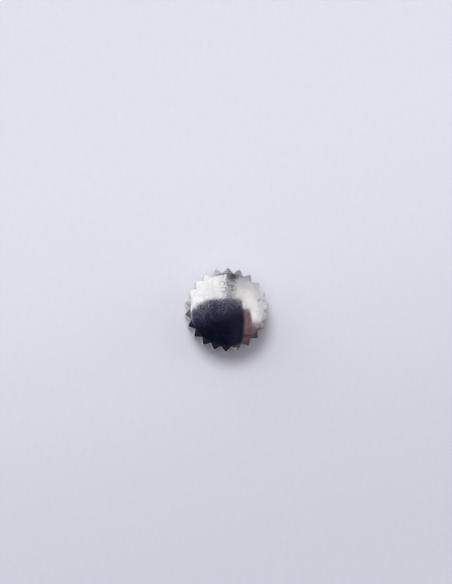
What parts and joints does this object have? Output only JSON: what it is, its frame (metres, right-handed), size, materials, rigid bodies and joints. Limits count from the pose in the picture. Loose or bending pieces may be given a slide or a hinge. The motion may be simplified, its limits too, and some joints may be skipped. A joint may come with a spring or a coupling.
{
  "type": "screw-down watch crown",
  "caption": "Domed watch crown with triangular grip teeth, a sleeve threaded for a case tube, seals, and a sprung square-driven post tapped for the winding stem.",
  "frame": {"origin": "on the crown's axis, in the plane of the skirt's rim that it stands on", "axes": "+Z along the crown's axis, from the mouth to the domed top; +Y towards the tip of one grip tooth"},
  "size_m": [0.006, 0.006, 0.0042],
  "materials": {
    "polished_plate": "polished, with fine scratches and slight wear on the tooth tips",
    "sleeve_steel": "fine turned",
    "bush_brass": "fine turned",
    "post_steel": "ground",
    "spring_steel": "drawn wire",
    "seat_bronze": "turned bronze",
    "seal_rubber": "matte, lightly greased",
    "washer_steel": "stamped and tumbled"
  },
  "bodies": {
    "crown": {"cap": "polished_plate", "threaded_sleeve": "sleeve_steel", "drive_bush": "bush_brass", "spring": "spring_steel", "spring_seat": "seat_bronze", "tube_gasket": "seal_rubber", "gasket_washer": "washer_steel", "mouth_o_ring": "seal_rubber"},
    "post": {"clutch_post": "post_steel"}
  },
  "joints": [
    {"name": "post_slide", "type": "slide", "parent": "crown", "child": "post", "axis": [0, 0, 1], "range_m": [0, 0.001], "stiffness_N_per_m": 300, "springref_m": -0.0001, "deforming": ["spring"]}
  ]
}
